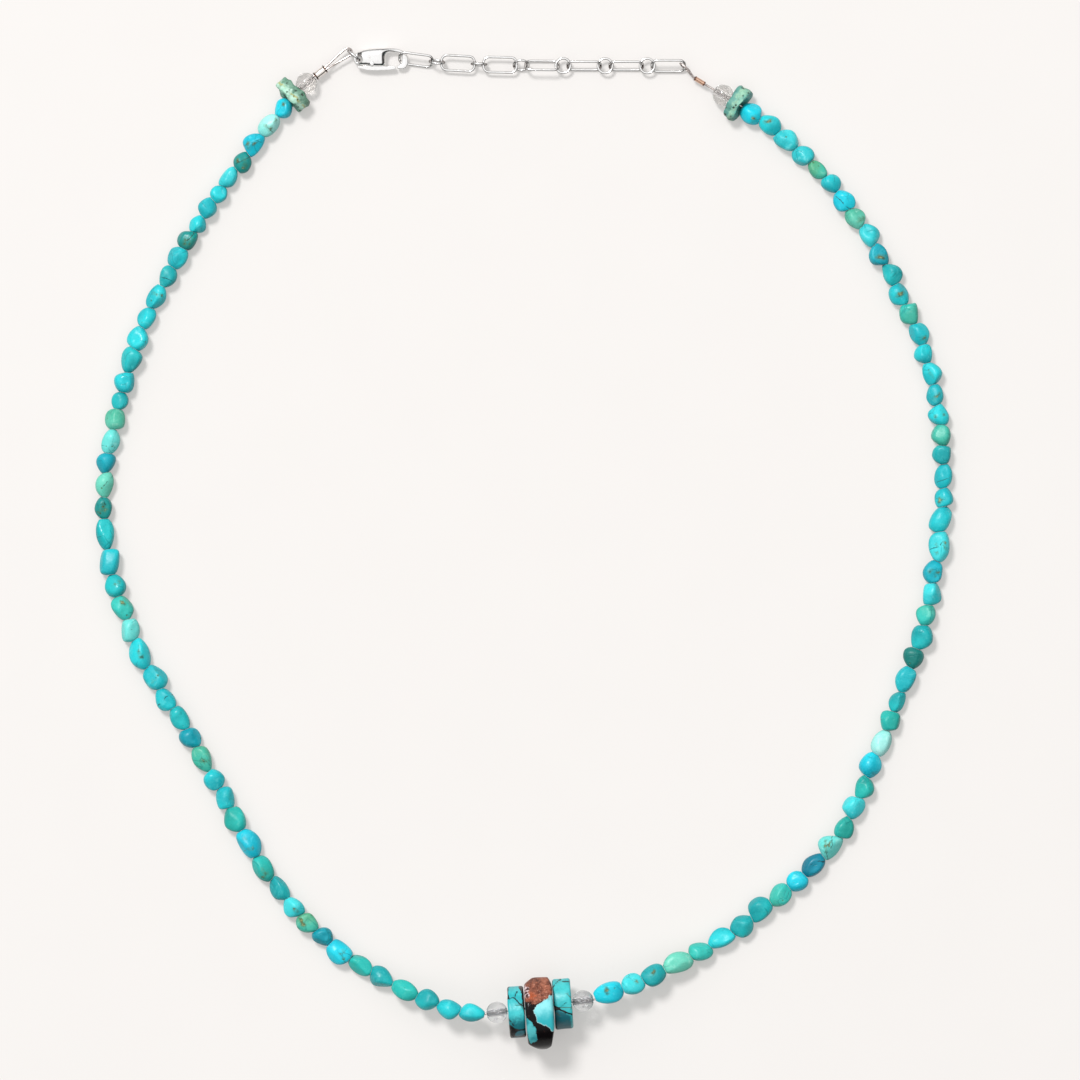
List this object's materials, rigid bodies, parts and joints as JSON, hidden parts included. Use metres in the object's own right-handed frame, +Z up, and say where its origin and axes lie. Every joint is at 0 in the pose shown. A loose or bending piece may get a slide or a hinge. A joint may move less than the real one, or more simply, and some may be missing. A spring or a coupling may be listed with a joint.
{
  "type": "beaded necklace",
  "caption": "Open loop of small turquoise nuggets with three large discs and round quartz beads at the front, a lobster clasp and an extender chain.",
  "frame": {"origin": "on the surface the necklace lies on, under the middle of its bounding box", "axes": "+Z up from the surface, +Y from the centre stones towards the clasp, +X towards the end with the extender chain"},
  "size_m": [0.1528, 0.1778, 0.0127],
  "materials": {
    "turquoise": "polished pebbles, sky blue to green, with brown matrix spots",
    "turquoise_veined": "polished, with black-brown veins",
    "turquoise_in_matrix": "rough copper-brown, black and turquoise matrix stone",
    "turquoise_green": "green turquoise with pits and dark bands",
    "clear_quartz": "polished, clear to slightly cloudy",
    "silver": "polished silver",
    "beading_wire": "fine twisted wire"
  },
  "bodies": {
    "necklace": {"nuggets_left": "turquoise", "nuggets_right": "turquoise", "disc_left": "turquoise_veined", "disc_middle": "turquoise_in_matrix", "disc_right": "turquoise_veined", "quartz_centre_left": "clear_quartz", "quartz_centre_right": "clear_quartz", "quartz_end_left": "clear_quartz", "quartz_end_right": "clear_quartz", "chip_left": "turquoise_green", "chip_right": "turquoise_green", "wire_centre": "beading_wire", "wire_left": "beading_wire", "wire_right": "beading_wire", "crimp_left": "silver", "crimp_right": "silver", "clasp_ring": "silver", "clasp_body": "silver", "link_01": "silver", "link_02": "silver", "link_03": "silver", "link_04": "silver", "link_05": "silver", "link_06": "silver", "link_07": "silver", "link_08": "silver", "link_09": "silver", "link_10": "silver", "link_11": "silver", "link_12": "silver", "link_13": "silver"},
    "lever": {"clasp_lever": "silver"}
  },
  "joints": [
    {"name": "lever_hinge", "type": "hinge", "parent": "necklace", "child": "lever", "pos_m": [-0.027, 0.08605, 0.00125], "axis": [0, 0, 1], "range_deg": [0, 25], "stiffness_Nm_per_rad": 0.0004, "springref_deg": -22.92}
  ]
}
